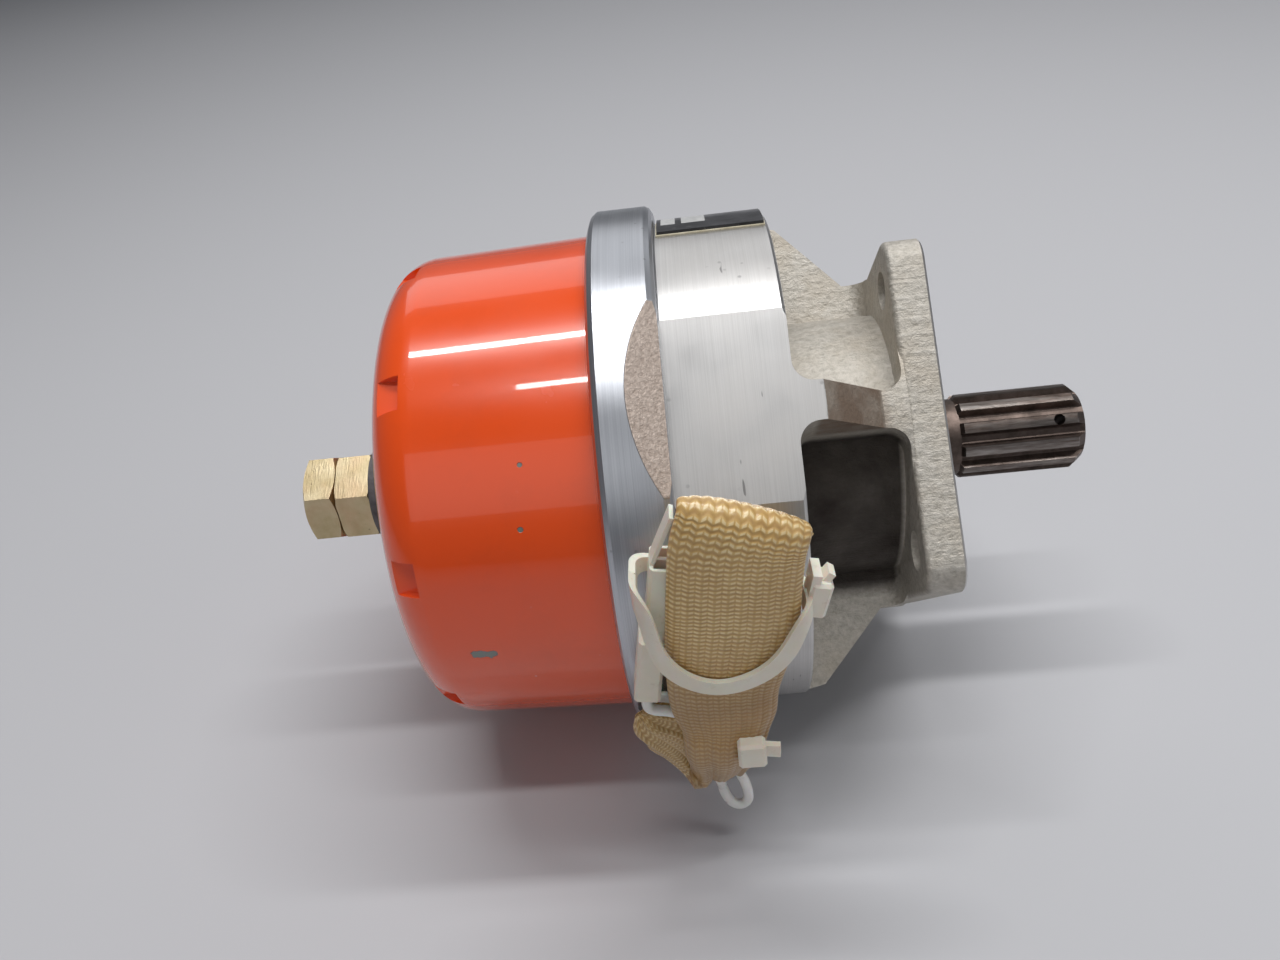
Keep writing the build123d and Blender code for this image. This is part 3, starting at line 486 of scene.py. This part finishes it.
def add_mesh(name, verts, faces, mat, smooth_shade=True):
    mesh = bpy.data.meshes.new(name)
    mesh.from_pydata([tuple(v) for v in verts], [], faces)
    mesh.materials.append(mat)
    if smooth_shade:
        mesh.polygons.foreach_set("use_smooth", [True] * len(mesh.polygons))
    obj = bpy.data.objects.new(name, mesh)
    bpy.context.scene.collection.objects.link(obj)
    return obj


def frames(line, tilt):
    """Width direction and outward normal at every station."""
    tangent = np.gradient(line, axis=0)
    tangent /= np.linalg.norm(tangent, axis=1)[:, None]
    width = np.stack([np.cos(np.radians(tilt)), np.zeros(len(tilt)), np.sin(np.radians(tilt))], 1)
    width -= (width * tangent).sum(1)[:, None] * tangent
    width /= np.linalg.norm(width, axis=1)[:, None]
    return width, np.cross(tangent, width)


ROWS = 620                    # rings of vertices along the sleeve
AROUND = 240                  # vertices round each ring
WALES = 22                    # ribs of the knit round the sleeve
RIB_DEPTH = 0.14              # mm
CLOTH = 0.0003                # thickness of the knit, m
run, sleeve = smooth(SLEEVE, ROWS)
width, normal = frames(sleeve[:, :3], sleeve[:, 5])
dense_turn = np.linspace(0, 2 * np.pi, 721)
verts = np.zeros((ROWS, AROUND, 3))
lane = np.zeros((ROWS, AROUND))
stain_and_shade = np.zeros((ROWS, AROUND))
share = np.arange(AROUND) / AROUND
for i in range(ROWS):
    w, t = sleeve[i, 3], sleeve[i, 4]
    cos_d, sin_d = np.cos(dense_turn), np.sin(dense_turn)
    rim_u = np.sign(cos_d) * np.abs(cos_d) ** 0.8 * w
    rim_v = np.sign(sin_d) * np.abs(sin_d) ** 0.9 * t
    # vertices evenly spaced round the section, so that every column is as wide
    path = np.concatenate([[0], np.cumsum(np.hypot(np.diff(rim_u), np.diff(rim_v)))])
    turn = np.interp(share * path[-1], path, dense_turn)
    cos_t, sin_t = np.cos(turn), np.sin(turn)
    u = np.interp(share * path[-1], path, rim_u)
    v = np.interp(share * path[-1], path, rim_v)
    gathered = np.clip((8.0 - w) / 3.5, 0, 1)
    v = v * (1 + gathered * 0.18 * np.sin(turn * 9 + run[i] * 0.11))
    u = u + gathered * 0.25 * np.sin(turn * 7 + 1.3 + run[i] * 0.07)
    sag = 0.35 * np.sin(run[i] * 0.19 + 0.4) * np.cos(u * 0.25 + run[i] * 0.05)
    v = v + sag * (1 - gathered) * 0.6
    outward = np.stack([cos_t / w, sin_t / t], 1)
    outward /= np.linalg.norm(outward, axis=1)[:, None]
    place = share * WALES
    from_rib = np.abs(place - np.floor(place) - 0.5)
    crown = np.cos(np.pi * from_rib) ** 0.7
    u = u + outward[:, 0] * (crown - 0.6) * RIB_DEPTH
    v = v + outward[:, 1] * (crown - 0.6) * RIB_DEPTH
    verts[i] = sleeve[i, :3] + u[:, None] * width[i] + v[:, None] * normal[i]
    lane[i] = from_rib
    # darker towards the bottom and towards the +u edge: painted shade
    height = sleeve[i, 2] + u * math.sin(math.radians(sleeve[i, 5]))
    shade_weight = np.clip((9.0 - height) / 16.0, 0, 1) * 0.62 + np.clip(u / w, 0, 1) * 0.22
    stain_and_shade[i] = np.clip(shade_weight, 0, 0.72) if run[i] > 17 else 0.18
faces = []
for i in range(ROWS - 1):
    for j in range(AROUND):
        k = (j + 1) % AROUND
        faces.append((i * AROUND + j, i * AROUND + k, (i + 1) * AROUND + k, (i + 1) * AROUND + j))
sleeve_obj = add_mesh("woven_sleeve", verts.reshape(-1, 3) * MM, faces, BRAID)
along = np.repeat(run[:, None], AROUND, axis=1)
for label, values in (("lane", lane), ("along", along), ("stain_and_shade", stain_and_shade)):
    attribute = sleeve_obj.data.attributes.new(label, "FLOAT", "POINT")
    attribute.data.foreach_set("value", values.reshape(-1))
thicken = sleeve_obj.modifiers.new("cloth", "SOLIDIFY")
thicken.thickness = CLOTH
thicken.offset = -1
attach(sleeve_obj, "casing")
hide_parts("lead_sleeve")

# ---- wires --------------------------------------------------------------------
WIRE_RADIUS = 0.00088


def nurbs(name, points, radius, mat):
    curve = bpy.data.curves.new(name, "CURVE")
    curve.dimensions = "3D"
    curve.bevel_depth = radius
    curve.bevel_resolution = 5
    curve.resolution_u = 10
    curve.use_fill_caps = True
    spline = curve.splines.new("NURBS")
    spline.points.add(len(points) - 1)
    for point, where in zip(spline.points, points):
        point.co = (*(c * MM for c in where), 1.0)
    spline.order_u = 3
    spline.use_endpoint_u = True
    curve.materials.append(mat)
    obj = bpy.data.objects.new(name, curve)
    bpy.context.scene.collection.objects.link(obj)
    return obj


# from the gland, through the folded sleeve: up its front, over the top fold and down its back
IN_SLEEVE = (
    (-51.5, -47.2, -15.1), (-51.4, -49.6, -15.9), (-50.0, -50.5, -18.2), (-47.2, -50.1, -22.0),
    (-44.6, -50.0, -25.0), (-42.8, -50.9, -26.3), (-41.7, -52.6, -23.8), (-40.8, -53.6, -18.0),
    (-40.2, -54.3, -10.0), (-39.2, -54.8, 0.0), (-37.5, -54.9, 11.0), (-36.0, -54.7, 21.0),
    (-35.1, -53.9, 25.8), (-35.1, -51.4, 25.8), (-36.0, -50.9, 20.0), (-37.6, -50.9, 10.0),
    (-39.0, -50.9, 0.0), (-40.2, -50.7, -10.0), (-40.6, -50.6, -18.0),
)
LOW_LOOP = (
    (-40.8, -49.8, -23.5), (-38.9, -49.5, -29.2), (-37.6, -49.8, -33.4), (-37.3, -49.9, -37.6),
    (-39.3, -49.9, -38.8), (-41.2, -49.8, -36.8), (-42.0, -49.3, -32.0), (-43.0, -49.4, -27.5),
    (-43.4, -50.0, -22.5),
)
HIDDEN_TURN = ((-41.0, -50.0, -23.0), (-42.4, -50.6, -25.4), (-43.3, -51.2, -22.0))
TO_PLUG = ((-43.5, -51.8, -16.5), (-44.8, -52.3, -11.6), (-47.8, -52.1, -9.2), (-51.9, -52.1, -8.6),
           (-51.7, -52.1, -5.3), (-51.2, -52.1, -2.6))
for number, (side, turn_back, length) in enumerate(((-1.0, LOW_LOOP, 0.178), (1.0, HIDDEN_TURN, 0.149))):
    route = [(x + side, y, z) for x, y, z in IN_SLEEVE]
    route += list(turn_back)
    route += [(x, y + 1.15 * side, z + 0.3 * side) for x, y, z in TO_PLUG]
    wire = nurbs(f"lead_wire_{number + 1}", route, WIRE_RADIUS, WHITE)
    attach(wire, "casing")
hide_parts("lead_wires")

# ---- softened edges of the moulded nylon pieces ----------------------------------
for name in ("tie_upper", "tie_lower", "plug_housing"):
    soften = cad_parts[name].modifiers.new("soften", "BEVEL")
    soften.width = 0.00032
    soften.segments = 3
    soften.limit_method = "ANGLE"

# ---- floor, lights and camera ----------------------------------------------------
floor_graph = Graph("floor", rough=0.8)
floor_graph.set("Base Color", (0.52, 0.52, 0.54))
floor = add_mesh("floor", [(-3, -3, FLOOR_Z), (3, -3, FLOOR_Z), (3, 3, FLOOR_Z), (-3, 3, FLOOR_Z)],
                 [(0, 1, 2, 3)], floor_graph.mat, False)


def area(name, where, aim, size_x, size_y, power):
    """A rectangular light whose long side runs along X."""
    light = bpy.data.lights.new(name, "AREA")
    light.shape = "RECTANGLE"
    light.size = size_x
    light.size_y = size_y
    light.energy = power
    obj = bpy.data.objects.new(name, light)
    back = (Vector(where) - Vector(aim)).normalized()
    along = (Vector((1, 0, 0)) - back * back.x).normalized()
    axes = Matrix((along, back.cross(along), back)).transposed().to_4x4()
    obj.matrix_world = Matrix.Translation(where) @ axes
    bpy.context.scene.collection.objects.link(obj)


area("behind", (-0.05, 1.0, 0.75), (-0.05, 0, 0), 1.4, 0.6, 2.2)
area("strip_a", (0.05, 0.135, 0.80), (0.05, 0, 0), 0.80, 0.042, 4.2)
area("strip_b", (0.10, -0.193, 0.80), (0.10, 0, 0), 0.70, 0.036, 2.3)
area("front", (-0.25, -0.9, 0.65), (-0.05, 0, 0), 0.8, 0.6, 0.9)
area("side", (0.9, -0.3, 0.5), (-0.03, 0, 0), 0.6, 0.6, 0.7)
world = bpy.data.worlds.new("studio")
world.use_nodes = True
world.node_tree.nodes["Background"].inputs[0].default_value = (0.80, 0.83, 0.88, 1)
world.node_tree.nodes["Background"].inputs[1].default_value = 0.17
bpy.context.scene.world = world
bpy.context.scene.view_settings.view_transform = "Standard"

# the camera looks down on the front, a little from the left, and leans slightly
camera = bpy.data.cameras.new("camera")
camera.lens = 28.43
camera.sensor_width = 36.0
camera.clip_start = 0.01
camera_obj = bpy.data.objects.new("camera", camera)
right = Vector((0.99294, -0.00238, -0.11859))
up = Vector((0.09769, 0.58348, 0.80623))
forward = Vector((-0.06728, 0.81212, -0.57959))
turned = Matrix((right, up, -forward)).transposed().to_4x4()
camera_obj.matrix_world = Matrix.Translation((-0.0390, -0.1600, 0.1112)) @ turned
bpy.context.scene.collection.objects.link(camera_obj)
bpy.context.scene.camera = camera_obj
